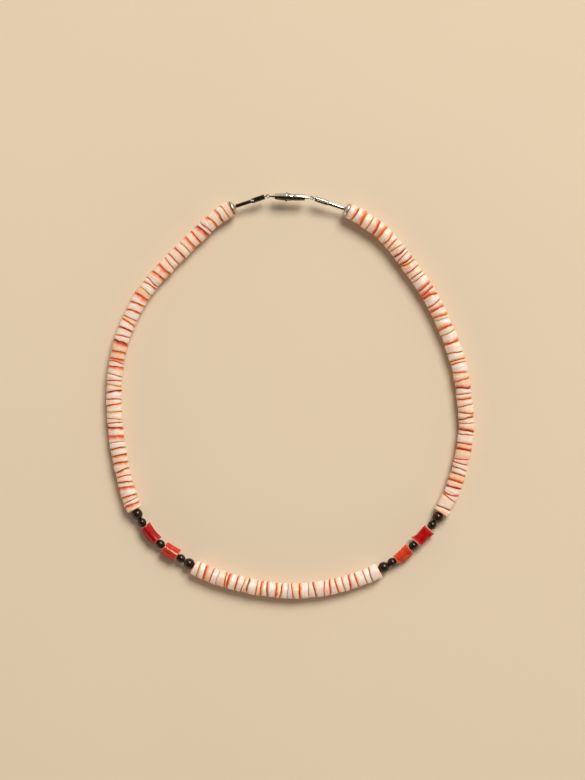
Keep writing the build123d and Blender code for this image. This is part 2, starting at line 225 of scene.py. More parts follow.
class BeadSettings(bpy.types.PropertyGroup):
    """Tone of the dark round beads."""

    dark: tone("Dark", (0.14, 0.075, 0.03), "Near-black body of the beads")
    worn: tone("Worn", (0.29, 0.20, 0.12), "Worn brown-grey patches of the beads")
    edge: length("Hole edge", 0.12, "Radius of the edge at a bead's hole")
    reach: length("Reach", 0.07, "How far a bead reaches into the gaps beside it")


class CoralSettings(bpy.types.PropertyGroup):
    """Tones and edges of the coral."""

    deep_red: tone("Deep red", (0.66, 0.02, 0.01), "Right upper coral")
    blood_red: tone("Blood red", (0.63, 0.03, 0.05), "Left upper coral")
    orange_red: tone("Orange red", (0.79, 0.23, 0.10), "Right lower coral")
    warm_red: tone("Warm red", (0.745, 0.21, 0.11), "Left lower coral")
    pale: tone("Pale end", (0.93, 0.74, 0.66), "Pale skin at the cut ends")
    edge: length("Edge", 0.16, "Radius of the worn edge at the cut ends")
    reach: length("Reach", 0.09, "How far the cut ends reach into the gaps beside them")


class SilverSettings(bpy.types.PropertyGroup):
    """Tone of the silver and the small forms on it."""

    silver: tone("Silver", (0.80, 0.78, 0.74), "Polished silver")
    # This colour serves both the tarnish and the painted dark reflection on the side against the neck, away
    # from the light.
    tarnish_and_shade: tone("Tarnish", (0.27, 0.21, 0.135), "Tarnish in the grooves and on the side against the neck")
    edge: length("Edge", 0.08, "Radius of the metal's edges")
    groove: length("Groove", 0.14, "Depth of the ring groove on the clasp's sleeve")
    seam_width: length("Seam width", 0.42, "Width of the open seam on a crimp tube's wide part")
    seam_depth: length("Seam depth", 0.24, "Depth of the open seam")
    groove_place: length("Groove place", 1.85, "From the sleeve's mouth to the middle of its groove")
    groove_width: length("Groove width", 0.42, "Width of the ring groove")
    bevel: length("Bevel", 0.2, "Bevel at the far end of each half of the clasp")
    shank_tip: length("Shank tip", 0.5, "Thickness of a shank where it joins its eye")
    eye_wire: length("Eye wire", 0.3, "Thickness of the wire of the eyes")


class ThreadSettings(bpy.types.PropertyGroup):
    """Tones of the twisted thread."""

    strand: tone("Strand", (0.78, 0.71, 0.60), "Raised strands of the twist")
    groove: tone("Groove", (0.52, 0.44, 0.34), "Grooves between the strands")


class StageSettings(bpy.types.PropertyGroup):
    """Floor, light and camera."""

    floor: tone("Floor", (0.855, 0.792, 0.697), "Plain pale floor")
    floor_size: length("Floor size", 4000, "Side of the floor")
    light_distance: length("Light distance", 3000, "From the choker to the middle of the light")
    light_size: length("Light size", 1500, "Diameter of the soft light")
    light_power: bpy.props.FloatProperty(name="Light power", description="Power of the soft light in watts",
                                         default=95.0, min=0.0)
    light_tone: tone("Light tone", (1.0, 0.96, 0.9), "Tone of the soft light")
    sky: bpy.props.FloatProperty(name="Fill", description="Strength of the light from all round",
                                 default=1.0, min=0.0)
    camera_height: length("Camera height", 620, "From the strand's middle up to the camera")
    pixel: length("Pixel", 0.345, "Real size of one pixel of the 585 by 780 picture, level with the strand")


# The picture that the camera is framed to, in pixels, and the place of the frame's origin in it
PHOTO_WIDTH = 585
PHOTO_HEIGHT = 780
PHOTO_MIDDLE = (290.3, 395.9)
SENSOR_HEIGHT = 24.0
LIGHT_FROM = (0.40, 0.78, 1.0)
# The room seen from the choker, in stops of place and tone: its walls by height (the sine of the elevation),
# their brighter foot by height, which fades in away from the light between the two cosines, and the glow
# round the light by the cosine of the angle to it.
ROOM_BY_HEIGHT = ((0.0, (0.62, 0.55, 0.45, 1)), (0.38, (0.50, 0.45, 0.38, 1)),
                  (0.55, (0.16, 0.14, 0.12, 1)), (0.72, (0.05, 0.045, 0.04, 1)),
                  (1.0, (0.04, 0.035, 0.03, 1)))
WALL_FOOT = ((0.0, (2.5, 2.05, 1.65, 1)), (0.15, (1.9, 1.55, 1.25, 1)), (0.3, (0.2, 0.17, 0.14, 1)),
             (0.42, (0, 0, 0, 1)))
OPPOSITE_LIGHT = (0.3, -0.4)
ROOM_BY_LIGHT = ((0.0, (0, 0, 0, 1)), (0.62, (0, 0, 0, 1)), (0.9, (0.30, 0.28, 0.25, 1)),
                 (1.0, (0.5, 0.48, 0.44, 1)))


def settings():
    """The add-on's properties on the open scene."""
    return bpy.context.scene.choker


def linear(colour):
    """Display colour as the linear values that a shader takes, opaque."""
    low = np.asarray(colour, float)
    return tuple(np.where(low <= 0.04045, low / 12.92, ((low + 0.055) / 1.055) ** 2.4)) + (1.0,)


def tinted(colour, by, more=0.0):
    """A linear colour times one factor, or one each for red, green and blue, and a little more."""
    return tuple(np.minimum(np.array(colour[:3]) * by + more, 1.0)) + (1.0,)


def unit(vector):
    """A vector's direction."""
    return np.asarray(vector) / np.linalg.norm(vector)


def round_about(count):
    """Angles of a full turn in equal steps."""
    return np.linspace(0, 2 * math.pi, count, endpoint=False)


def smooth(share):
    """A share from 0 to 1, eased at both ends."""
    return share * share * (3 - 2 * share)


def cad_mesh(node):
    """Points in millimetres and triangles of a CAD node, its doubled points merged."""
    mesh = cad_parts[node].data
    mesh.calc_loop_triangles()
    points = np.empty(3 * len(mesh.vertices), np.float32)
    mesh.vertices.foreach_get("co", points)
    points = points.reshape(-1, 3).astype(float) / MM
    corners = np.empty(3 * len(mesh.loop_triangles), np.int32)
    mesh.loop_triangles.foreach_get("vertices", corners)
    _, first, same = np.unique(np.round(points, 4), axis=0, return_index=True, return_inverse=True)
    return points[first], same.reshape(-1)[corners].reshape(-1, 3)


def loose_solids(points, triangles):
    """The triangles of each loose solid: every point takes the lowest number that it is joined to."""
    label = np.arange(len(points))
    while True:
        lowest = label.copy()
        np.minimum.at(lowest, triangles.ravel(), np.repeat(label[triangles].min(axis=1), 3))
        lowest = lowest[lowest]
        if (lowest == label).all():
            break
        label = lowest
    owner = label[triangles[:, 0]]
    return [triangles[owner == number] for number in np.unique(owner)]


def sides(points, triangles):
    """Corners, unit normals and areas of triangles."""
    corner = points[triangles]
    across = np.cross(corner[:, 1] - corner[:, 0], corner[:, 2] - corner[:, 0])
    area = np.linalg.norm(across, axis=1) / 2
    return corner, across / (2 * area[:, None]), area


def from_axis(points, origin, axis):
    """How far each point is along an axis from its origin, and how far from the axis."""
    offset = points - origin
    along = offset @ axis
    return along, np.linalg.norm(offset - along[:, None] * axis, axis=1)


def flat_face(points, triangles, facing=None):
    """Middle, normal and corner points of the largest flat face, or of the largest that faces a direction.

    Triangles are of one face where their normals and their distances from the frame's origin agree.
    """
    corner, normal, area = sides(points, triangles)
    away = np.einsum("ij,ij->i", normal, corner[:, 0])
    alike = (normal @ normal.T > SAME_NORMAL) & (np.abs(away[:, None] - away[None, :]) < SAME_PLANE)
    total = alike @ area
    if facing is not None:
        total = np.where(normal @ facing > FACING, total, 0.0)
    face = alike[total.argmax()]
    weight = area[face] / area[face].sum()
    middle = (corner[face].mean(axis=1) * weight[:, None]).sum(axis=0)
    direction = (normal[face] * weight[:, None]).sum(axis=0)
    return middle, unit(direction), points[np.unique(triangles[face])]


def seat_axes(ahead):
    """Rows x outwards, y up and z ahead of a seat whose direction of travel is given."""
    z = unit(ahead)
    x = unit(np.cross(UP, z))
    return np.stack([x, np.cross(z, x), z])


def clockwise(direction, place):
    """The direction, turned to run clockwise round the loop at that place."""
    return direction if direction @ np.array([place[1], -place[0], 0.0]) > 0 else -direction


def seated(local, origin, axes):
    """Points of a seat as points of the frame."""
    return origin + local @ axes


def polar(points):
    """Distances of a seat's points from its z axis, and their angles from x towards y."""
    x, y = points[..., 0], points[..., 1]
    return np.hypot(x, y), np.arctan2(y, x)


def grid_faces(rows, columns, close_rows=False, turn=False):
    """Four-cornered faces of a grid of points whose columns run round, and its rows too where they close."""
    r, c = np.meshgrid(np.arange(rows if close_rows else rows - 1), np.arange(columns), indexing="ij")
    r2, c2 = (r + 1) % rows, (c + 1) % columns
    faces = np.stack([r * columns + c, r * columns + c2, r2 * columns + c2, r2 * columns + c], axis=-1)
    faces = faces.reshape(-1, 4)
    return faces[:, ::-1] if turn else faces


def closed_off(grid, start, end):
    """Points and faces of rings, closed by fans of triangles round two pole points on z, start and end."""
    rows, columns = grid.shape[:2]
    points = np.concatenate([grid.reshape(-1, 3), [(0, 0, start), (0, 0, end)]])
    here = np.arange(columns)
    after = (here + 1) % columns
    pole = np.full(columns, rows * columns)
    last_row = (rows - 1) * columns
    first = np.stack([pole, after, here], axis=-1)
    last = np.stack([last_row + here, last_row + after, pole + 1], axis=-1)
    return points, [grid_faces(rows, columns), np.concatenate([first, last])]


# Kind and field of a mesh attribute by how many numbers each point has
ATTRIBUTE_KINDS = {1: ("FLOAT", "value"), 3: ("FLOAT_VECTOR", "vector"), 4: ("FLOAT_COLOR", "color")}


def add_piece(name, points, groups, material, nodes, attributes):
    """A smooth mesh piece in metres that rides on the choker and stands for its CAD nodes.

    points and attributes are grids or lists, and groups is a list of arrays of faces, each array of faces of
    four or of three corners.
    """
    points = points.reshape(-1, 3)
    corners = np.concatenate([faces.ravel() for faces in groups]).astype(np.int32)
    sizes = np.concatenate([np.full(len(faces), faces.shape[1]) for faces in groups])
    mesh = bpy.data.meshes.new(name)
    mesh.vertices.add(len(points))
    mesh.vertices.foreach_set("co", (points * MM).astype(np.float32).ravel())
    mesh.loops.add(len(corners))
    mesh.loops.foreach_set("vertex_index", corners)
    mesh.polygons.add(len(sizes))
    mesh.polygons.foreach_set("loop_start", (np.cumsum(sizes) - sizes).astype(np.int32))
    mesh.polygons.foreach_set("use_smooth", np.ones(len(sizes), bool))
    mesh.update(calc_edges=True)
    if mesh.validate():
        raise RuntimeError(f"{name} had faces that Blender can't keep")
    for key, values in attributes.items():
        values = np.asarray(values, np.float32)
        kind, field = ATTRIBUTE_KINDS[values.size // len(points)]
        mesh.attributes.new(key, kind, "POINT").data.foreach_set(field, values.ravel())
    mesh.materials.append(material)
    piece = bpy.data.objects.new(name, mesh)
    bpy.context.scene.collection.objects.link(piece)
    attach(piece, "root")
    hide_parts(*nodes)


class Nodes:
    """Short calls for building a tree of nodes."""

    def __init__(self, tree):
        self.tree = tree

    def put(self, target, value):
        """Sets a socket, or links it where the value is another node's output."""
        if isinstance(value, bpy.types.NodeSocket):
            self.tree.links.new(value, target)
        else:
            target.default_value = value

    def node(self, kind, inputs=(), **options):
        """Adds a node with its options and its inputs, by name or number."""
        node = self.tree.nodes.new(kind)
        for key, value in options.items():
            setattr(node, key, value)
        for key, value in dict(inputs).items():
            self.put(node.inputs[key], value)
        return node

    def attribute(self, name, field="Fac"):
        """A mesh attribute's output."""
        return self.node("ShaderNodeAttribute", attribute_name=name).outputs[field]

    def maths(self, operation, a, b=0.0, c=0.0):
        """One step of arithmetic."""
        return self.node("ShaderNodeMath", {0: a, 1: b, 2: c}, operation=operation).outputs[0]

    def scaled(self, vector, by):
        """A vector times three factors."""
        return self.node("ShaderNodeVectorMath", {0: vector, 1: by}, operation="MULTIPLY").outputs[0]

    def noise(self, vector, scale, detail=2.0, roughness=0.5):
        """Noise from 0 to 1 about 0.5."""
        values = {"Vector": vector, "Scale": scale, "Detail": detail, "Roughness": roughness}
        return self.node("ShaderNodeTexNoise", values).outputs["Fac"]

    def ramp(self, value, low, high, bottom=0.0, top=1.0):
        """A smooth step from bottom to top while the value goes from low to high."""
        values = {"Value": value, "From Min": low, "From Max": high, "To Min": bottom, "To Max": top}
        return self.node("ShaderNodeMapRange", values, interpolation_type="SMOOTHSTEP").outputs[0]

    def mix(self, share, a, b, blend="MIX"):
        """Two colours mixed, or added or multiplied."""
        node = self.node("ShaderNodeMix", data_type="RGBA", blend_type=blend)
        self.put(node.inputs[0], share)
        self.put(node.inputs[6], a)
        self.put(node.inputs[7], b)
        return node.outputs[2]

    def toned(self, value, stops):
        """Tone for a value from 0 to 1, from stops of place and tone."""
        node = self.node("ShaderNodeValToRGB", {0: value})
        node.color_ramp.elements.remove(node.color_ramp.elements[1])
        node.color_ramp.elements[0].color = stops[0][1]
        for place, colour in stops[1:]:
            node.color_ramp.elements.new(place).color = colour
        return node.outputs[0]


class Shader(Nodes):
    """One material's nodes and its surface."""

    def __init__(self, name):
        self.material = bpy.data.materials.new(name)
        self.material.use_nodes = True
        super().__init__(self.material.node_tree)
        self.surface = self.tree.nodes["Principled BSDF"]

    def bump(self, height, strength, distance):
        """Relief on the surface from a height."""
        values = {"Height": height, "Strength": strength, "Distance": distance}
        self.put(self.surface.inputs["Normal"], self.node("ShaderNodeBump", values).outputs[0])

    def finish(self, **sockets):
        """Sets the surface's own sockets, named with underscores for spaces, and gives the material."""
        for key, value in sockets.items():
            self.put(self.surface.inputs[key.replace("_", " ")], value)
        return self.material


def shell_material(look):
    """Polished shell: a pale body that blushes towards its faces, coloured layers, and stained joints."""
    s = Shader("polished_shell")
    place = s.attribute("place", "Vector")
    waver = s.maths("SUBTRACT", s.noise(place, 0.55, 3.0), 0.5)
    ragged = s.maths("MULTIPLY", s.maths("SUBTRACT", s.noise(place, 2.6, 4.0, 0.6), 0.5), 0.3)
    layers = s.noise(s.scaled(place, (0.15, 0.15, 1.8)), 1.0, 4.0, 0.7)
    patches = s.noise(place, 0.5, 2.0)
    blush = linear(look.blush)
    grime = linear(look.grime)

    body = s.attribute("body", "Color")
    colour = s.mix(s.ramp(layers, 0.48, 0.62, 0.0, 0.8), body, blush)
    colour = s.mix(s.ramp(layers, 0.36, 0.48, 0.8, 0.0), colour, linear(look.nacre))
    colour = s.mix(s.ramp(patches, 0.5, 0.8, 0.0, 0.35), colour, blush)
    for name in ("near", "far"):
        depth = s.maths("ADD", s.attribute(name + "_depth"), ragged)
        soft = s.ramp(depth, 0.0, s.maths("MULTIPLY_ADD", waver, 2.0, 0.75), 0.62, 0.0)
        colour = s.mix(soft, colour, blush)
    for name in ("near", "far"):
        depth = s.maths("ADD", s.attribute(name + "_depth"), ragged)
        width = s.maths("MULTIPLY", s.attribute(name + "_width"), s.maths("MULTIPLY_ADD", waver, 2.4, 1.0))
        fade = s.ramp(depth, s.maths("MULTIPLY", width, 0.1), s.maths("MULTIPLY_ADD", width, 1.3, 0.1),
                      1.0, 0.0)
        colour = s.mix(fade, colour, s.attribute(name + "_band", "Color"))
        core = s.ramp(depth, -0.05, s.maths("MULTIPLY_ADD", width, 0.4, 0.16), 1.0, 0.0)
        patchy = s.ramp(s.maths("ADD", waver, 0.5), 0.38, 0.62, 0.35, 1.0)
        stain = s.maths("MULTIPLY", s.maths("MULTIPLY", core, patchy), s.attribute(name + "_grime"))
        colour = s.mix(stain, colour, grime)
    colour = s.mix(s.attribute("bare"), colour, s.mix(s.ramp(patches, 0.35, 0.65, 0.1, 0.6), body, blush))
    scratches = s.noise(s.scaled(place, (6.0, 6.0, 1.2)), 1.0, 3.0, 0.6)
    s.bump(scratches, 0.1, 0.02 * MM)
    return s.finish(
        Base_Color=colour,
        Roughness=s.ramp(patches, 0.3, 0.7, 0.3, 0.42),
        Specular_IOR_Level=0.4,
        Subsurface_Weight=0.5,
        Subsurface_Radius=(1.0, 0.75, 0.6),
        Subsurface_Scale=1.0 * MM,
    )


def disc_faces(node):
    """A strand's discs in order: middles and normals of their back and front faces, rim and bore radii."""
    points, triangles = cad_mesh(node)
    rows = []
    for disc in loose_solids(points, triangles):
        middle, normal, _ = flat_face(points, disc)
        other, far_normal, _ = flat_face(points, disc, facing=-normal)
        if clockwise(normal, middle) is not normal:
            middle, normal, other, far_normal = other, far_normal, middle, normal
        turn = math.atan2(middle[0], middle[1]) % (2 * math.pi)
        _, reach = from_axis(points[np.unique(disc)], other, unit(middle - other))
        rows.append((turn, other, far_normal, middle, normal, reach.max(), reach.min()))
    rows.sort(key=lambda row: row[0])
    return [np.array(column) for column in list(zip(*rows))[1:]]


def disc_surface(back, back_normal, front, front_normal, rim, bore, edge, warp):
    """Points of a strand's discs, as an array of discs, rows, columns and xyz, in the frame and in each
    disc's seat, and how deep each lies behind the back face and the front face.

    A disc's rows run from the bore over the back face, the worn edge, the rim, the other edge and the front
    face to the bore again. A point is its angle's direction times its row's radius, moved along the disc's
    axis to the slanting face plane there, and in from it by the edge's fall. The planes are warped by the
    joints' own wander, which grows with the square of the radius and is the same on both sides of a joint.
    rim and edge are arrays of discs and columns, and warp has one row more, for the strand's two ends.
    """
    span = front - back
    thickness = np.linalg.norm(span, axis=1)
    axes = np.array([seat_axes(one) for one in span])
    angle = round_about(rim.shape[1])
    out = axes[:, 0, None] * np.cos(angle)[:, None] + axes[:, 1, None] * np.sin(angle)[:, None]

    def slope(normal):
        """Rise of a face plane along the axis, for each unit of radius at each angle."""
        level = np.einsum("dij,dj->di", out, normal)
        return -level / np.einsum("dj,dj->d", axes[:, 2], normal)[:, None]

    bend = np.radians([0, 45, 90])[:, None, None]
    worn = (rim - edge)[None] + edge[None] * np.sin(bend)
    fall = edge[None] * (1 - np.cos(bend))
    flat = np.full((2,) + rim.shape, bore)
    flat[1] = bore + 0.55 * (rim - bore)
    radius = np.concatenate([flat, worn, rim[None], worn[::-1], flat[::-1]]).transpose(1, 0, 2)
    none = np.zeros_like(flat)
    inset = np.concatenate([none, fall, none[:1], fall[::-1], none]).transpose(1, 0, 2)
    side = np.array([0, 0, 0, 0, 0, 0.5, 1, 1, 1, 1, 1])[None, :, None]
    outward = (radius / rim[:, None]) ** 2
    low = radius * slope(back_normal)[:, None] + warp[:-1, None] * outward
    high = thickness[:, None, None] + radius * slope(front_normal)[:, None] + warp[1:, None] * outward
    along = (low + inset) * (1 - side) + (high - inset) * side
    ahead = axes[:, 2][:, None, None]
    points = back[:, None, None] + radius[..., None] * out[:, None] + along[..., None] * ahead
    local = np.stack([radius * np.cos(angle), radius * np.sin(angle), along], axis=-1)
    return points, local, along - low, high - along


class CHOKER_OT_shell_strands(bpy.types.Operator):
    """Builds the three strands of shell discs."""

    bl_idname = "choker.shell_strands"
    bl_label = "Shell strands"

    def execute(self, context):
        look = settings().shell
        material = shell_material(look)
        for number, (node, chart) in enumerate(STRANDS.items()):
            *planes, rim_radius, bore = disc_faces(node)
            back, _, front, _ = planes
            chart = chart.split()
            count = len(chart)
            if count != len(back):
                raise RuntimeError(f"{node} has {len(back)} discs and {count} tones")
            draw = np.random.default_rng(FIRST_SEED + number)
            thickness = np.linalg.norm(front - back, axis=1)
            rim, edge, warp = self.wear(look, rim_radius, thickness, draw)
            points, local, near, far = disc_surface(*planes, rim, bore.mean(), edge, warp)
            rows, columns = points.shape[1:3]
            faces = grid_faces(rows, columns, close_rows=True)
            faces = faces[None] + (np.arange(count) * rows * columns)[:, None, None]

            body = np.array([linear(getattr(look, BODY_TONES[body])) for body, _, _ in chart])
            band = np.array([linear(getattr(look, BAND_TONES[band])) for _, band, _ in chart])
            width = np.array([BAND_WIDTHS[int(width)] for _, _, width in chart])
            grime = np.array([DARK_GRIME if band in DARK_BANDS else PALE_GRIME for _, band, _ in chart])
            body[:, :3] *= draw.uniform(*BODY_SPREAD, (count, 1))
            bare = np.zeros(near.shape)
            bare[0, :3] = bare[-1, -3:] = BARE_END
            shift = np.outer(np.arange(count), DISC_STEP)
            by_disc = {
                "body": body,
                "far_band": band,
                "near_band": np.roll(band, 1, axis=0),
                "far_width": width,
                "near_width": NEXT_DISC_BAND * np.roll(width, 1),
                "far_grime": grime,
                "near_grime": np.roll(grime, 1),
            }
            by_disc = {key: np.repeat(values, rows * columns, axis=0) for key, values in by_disc.items()}
            add_piece(node.replace("discs", "strand"), points, [faces.reshape(-1, 4)], material,
                      [node], {"place": local + shift[:, None, None], **by_disc,
                               "bare": bare, "near_depth": near, "far_depth": far})
        return {"FINISHED"}

    @staticmethod
    def wear(look, rim_radius, thickness, draw):
        """Rim and edge radii of a strand's discs at each angle, and how far each joint wanders there.

        A rim is its disc's radius less three waves and a random cut all round. An edge has a random radius,
        waves of its own, and chips that fade with the angle from their middles. A joint wanders in two waves
        of random size and turn, and the strand's two ends don't.
        """
        count = len(rim_radius)
        angle = round_about(DISC_COLUMNS)
        waves = sum(np.cos(k * angle + draw.uniform(0, 6.3, (count, 1))) for k in RIM_WAVES)
        waves = waves / len(RIM_WAVES)
        rim = rim_radius[:, None] - look.waver / MM * (0.5 + 0.5 * waves)
        rim = rim - look.slimmer / MM * draw.uniform(0, 1, (count, 1)) ** 1.5
        edge = look.edge / MM * draw.uniform(*EDGE_SPREAD, (count, 1))
        edge = edge * (1 + EDGE_WAVE * np.roll(waves, 5, axis=1))
        for _ in range(CHIPS):
            turn = angle - draw.uniform(0, 2 * math.pi, (count, 1))
            near = np.exp((np.cos(turn) - 1) / draw.uniform(*CHIP_SPREAD, (count, 1)))
            edge = edge + near * look.chip / MM * draw.uniform(0, 1, (count, 1)) ** 3
        edge = np.minimum(edge, 0.45 * thickness[:, None] - 0.05)
        sizes = draw.normal(0, JOINT_SPREAD, (2, count + 1, 1))
        turns = draw.uniform(0, 2 * math.pi, (2, count + 1, 1))
        wander = sizes[0] * np.cos(2 * angle + turns[0]) + sizes[1] * np.cos(3 * angle + turns[1])
        wander[[0, -1]] = 0
        return rim, edge, look.warp / MM * wander


def turned(profile, columns):
    """Points of a turned form: each (radius, z) of the profile carried round the z axis."""
    radius, z = np.asarray(profile, float).T
    angle = round_about(columns)
    ring = np.stack([np.cos(angle), np.sin(angle)], axis=-1)
    flat = radius[:, None, None] * ring[None]
    high = np.broadcast_to(z[:, None, None], flat.shape[:2] + (1,))
    return np.concatenate([flat, high], axis=-1)


def rounded(corners, edge, closed=True):
    """A profile with each corner (radius, z) rounded by a curve that leaves its sides edge away.

    An open profile's first and last corners only lead in and out, and are left out of it.
    """
    corners = np.asarray(corners, float)
    before = np.roll(corners, 1, axis=0) - corners
    after = np.roll(corners, -1, axis=0) - corners
    before_length = np.linalg.norm(before, axis=1, keepdims=True)
    after_length = np.linalg.norm(after, axis=1, keepdims=True)
    start = corners + before / before_length * np.minimum(edge, 0.45 * before_length)
    end = corners + after / after_length * np.minimum(edge, 0.45 * after_length)
    t = np.linspace(0, 1, 4)[None, :, None]
    curve = (1 - t) ** 2 * start[:, None] + 2 * t * (1 - t) * corners[:, None] + t ** 2 * end[:, None]
    return (curve if closed else curve[1:-1]).reshape(-1, 2)


class CHOKER_OT_dark_beads(bpy.types.Operator):
    """Builds the ten dark round beads."""

    bl_idname = "choker.dark_beads"
    bl_label = "Dark beads"

    def execute(self, context):
        look = settings().bead
        material = self.bead_material(look)
        nodes = sorted(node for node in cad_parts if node.startswith("dark_bead"))
        for number, node in enumerate(nodes):
            middle, axis, radius, bore, half = self.seat(node)
            edge = look.edge / MM
            hole = bore + edge
            lip = math.asin(hole / radius) + edge / radius
            slant = np.linspace(lip, math.pi - lip, 28)
            ball = np.stack([radius * np.sin(slant), -radius * np.cos(slant)], axis=-1)
            low = np.array([(bore, -half + edge), (bore + 0.3 * edge, -half), (hole, -half)])
            profile = np.concatenate([low, ball, low[::-1] * (1, -1)])
            profile[:, 1] *= 1 + look.reach / MM / half
            local = turned(profile, columns=40)
            faces = grid_faces(*local.shape[:2], close_rows=True)
            add_piece(node.replace("dark_bead", "round_bead"), seated(local, middle, seat_axes(axis)),
                      [faces], material, [node],
                      {"place": local + np.multiply(BEAD_STEP, number)})
        return {"FINISHED"}

    @staticmethod
    def seat(node):
        """Middle, axis, radius, bore and half length of a drilled ball.

        The bore's triangles are the ones that face the ball's middle. The axis is the direction that lies
        across all of their normals: the last direction of their singular value decomposition.
        """
        points, triangles = cad_mesh(node)
        middle = (points.min(axis=0) + points.max(axis=0)) / 2
        corner, normal, _ = sides(points, triangles)
        inner = np.einsum("ij,ij->i", normal, corner.mean(axis=1) - middle) < 0
        axis = np.linalg.svd(normal[inner])[2][2]
        along, bore = from_axis(points[np.unique(triangles[inner])], middle, axis)
        middle = middle + (along.max() + along.min()) / 2 * axis
        radius = np.linalg.norm(points - middle, axis=1).max()
        return middle, clockwise(axis, middle), radius, bore.max(), (along.max() - along.min()) / 2

    @staticmethod
    def bead_material(look):
        """Satin near-black with worn patches and fine pits."""
        s = Shader("dark_bead_satin")
        place = s.attribute("place", "Vector")
        patches = s.noise(place, 0.9, 4.0, 0.6)
        pits = s.noise(place, 7.0, 3.0, 0.7)
        colour = s.mix(s.ramp(patches, 0.5, 0.8, 0.0, 0.6), linear(look.dark), linear(look.worn))
        s.bump(pits, 0.12, 0.02 * MM)
        return s.finish(Base_Color=colour, Roughness=s.ramp(patches, 0.3, 0.7, 0.14, 0.24),
                        Specular_IOR_Level=0.35)


def smooth_least(a, b, softness):
    """The lesser of two arrays, their meeting rounded over softness."""
    blend = np.clip(0.5 + 0.5 * (b - a) / softness, 0, 1)
    return b * (1 - blend) + a * blend - softness * blend * (1 - blend)


def eased(at, places, values):
    """A smooth curve through the values: a cubic between each two places, its slopes those of the chart."""
    slopes = np.gradient(values, places)
    before = np.clip(np.searchsorted(places, at, side="right") - 1, 0, len(places) - 2)
    span = places[before + 1] - places[before]
    t = (at - places[before]) / span
    rise = smooth(t)
    leave = (t - 2 * t ** 2 + t ** 3) * span * slopes[before]
    arrive = (t ** 3 - t ** 2) * span * slopes[before + 1]
    return (1 - rise) * values[before] + rise * values[before + 1] + leave + arrive


def turn_from(angle, degrees):
    """Each angle less a direction, from half a turn back to half a turn on."""
    return (angle - math.radians(degrees) + math.pi) % (2 * math.pi) - math.pi


def coral_radius(form, girth, along, angle):
    """Distance of a coral piece's skin from its axis, in millimetres, for grids of place and angle.

    An oval with its own outward, inward and upper half-widths at each place, cut back softly by its flat or
    hollow facets, dented, and wrinkled by waves that run lengthwise.
    """
    place, *columns = np.array(form["sections"]).T
    outward, inward, upper = [girth * eased(along, place, column) for column in columns]
    level = np.where(np.cos(angle) > 0, outward, inward)
    radius = 1 / np.sqrt((np.cos(angle) / level) ** 2 + (np.sin(angle) / upper) ** 2)
    for direction, distance, hollow in form["facets"]:
        turn = turn_from(angle, direction)
        depth = distance - hollow * np.sin(math.pi * along)
        cut = depth * girth / np.cos(np.clip(turn, -FACET_REACH, FACET_REACH))
        cut = np.where(np.abs(turn) < FACET_REACH, cut, 2 * girth)
        radius = smooth_least(radius, cut, FACET_SOFTNESS)
    for spot, direction, reach, depth in form["dents"]:
        turn = turn_from(angle, direction)
        near = np.exp(-(turn / math.radians(reach)) ** 2 - ((along - spot) / DENT_REACH) ** 2)
        radius = radius - depth * girth * near
    wrinkle = sum(np.cos(k * angle + 1.7 * k + 2.2 * np.sin(2.1 * along + k)) for k in GRAIN_WAVES)
    return radius + form["rough_skin"] * girth * wrinkle / len(GRAIN_WAVES) / 2


